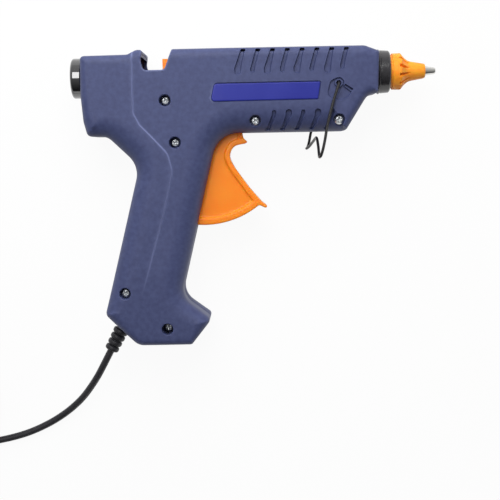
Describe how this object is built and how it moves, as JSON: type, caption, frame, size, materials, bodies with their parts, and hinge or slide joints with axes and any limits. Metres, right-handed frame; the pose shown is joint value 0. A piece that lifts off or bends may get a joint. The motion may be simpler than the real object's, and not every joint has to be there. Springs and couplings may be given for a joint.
{
  "type": "hot glue gun",
  "caption": "Corded pistol-grip hot-melt glue gun with a stick feed trigger, insulated nozzle, top stick window and swing-out wire stand.",
  "frame": {"origin": "on the far half's flat side, which the gun lies on, straight below the barrel axis", "axes": "+X along the barrel to the nozzle, +Y the gun's own up (from the foot to the barrel), +Z out of the near side; the gun lies on its far side"},
  "size_m": [0.329, 0.2297, 0.0391],
  "materials": {
    "housing": "fine satin texture",
    "trigger_orange": "satin",
    "gloss_black": "polished",
    "satin_black": "satin",
    "label_blue": "gloss",
    "silicone_orange": "soft satin",
    "silicone_grey": "soft satin",
    "ceramic": "matt",
    "steel": "zinc plated",
    "bright_metal": "machined",
    "cast_aluminium": "as cast",
    "pvc_black": "soft satin",
    "pvc_blue": "soft satin",
    "black_wire": "black coated",
    "plated_pin": "nickel plated"
  },
  "bodies": {
    "housing": {"shell_near": "housing", "shell_far": "housing", "inlet_ring": "gloss_black", "stick_guide": "satin_black", "return_spring": "steel", "trigger_pin": "steel", "inlet_sleeve": "silicone_grey", "melt_chamber": "cast_aluminium", "heater_ring_rear": "ceramic", "heater_ring_front": "ceramic", "heating_element": "ceramic", "front_collar": "satin_black", "nozzle": "bright_metal", "nozzle_sleeve": "silicone_orange", "label_plate": "label_blue", "housing_screw_1": "steel", "housing_screw_2": "steel", "housing_screw_3": "steel", "housing_screw_4": "steel", "housing_screw_5": "steel", "housing_screw_6": "steel", "strain_relief": "pvc_black", "cord_clamp": "satin_black", "clamp_screw_1": "steel", "clamp_screw_2": "steel", "lead_live": "pvc_black", "lead_neutral": "pvc_blue", "cord": "pvc_black", "cord_tail": "pvc_black", "cord_coil": "pvc_black", "coil_tie": "satin_black", "plug": "pvc_black", "plug_pin_1": "plated_pin", "plug_pin_2": "plated_pin"},
    "trigger": {"trigger": "trigger_orange"},
    "carriage": {"feed_carriage": "trigger_orange", "claw_pin": "steel"},
    "claw": {"feed_claw": "trigger_orange"},
    "stand": {"wire_stand": "black_wire"}
  },
  "joints": [
    {"name": "trigger_squeeze", "type": "hinge", "parent": "housing", "child": "trigger", "pos_m": [-0.0075, -0.0341, 0.0195], "axis": [0, 0, -1], "range_deg": [0, 26], "stiffness_Nm_per_rad": 0.3, "springref_deg": -14.32},
    {"name": "carriage_feed", "type": "slide", "parent": "housing", "child": "carriage", "axis": [1, 0, 0], "range_m": [0, 0.009], "deforming": ["return_spring"]},
    {"name": "claw_bite", "type": "hinge", "parent": "carriage", "child": "claw", "pos_m": [-0.024, -0.0078, 0.0195], "axis": [0, 0, 1], "range_deg": [0, 8]},
    {"name": "stand_swing", "type": "hinge", "parent": "housing", "child": "stand", "pos_m": [0.0681, -0.0061, 0.0195], "axis": [0, 0, 1], "range_deg": [-8, 75]}
  ],
  "couplings": [
    {"joint": "carriage_feed", "follows": "trigger_squeeze", "m_per_rad": 0.019828},
    {"joint": "claw_bite", "follows": "trigger_squeeze", "ratio": 0.307}
  ]
}
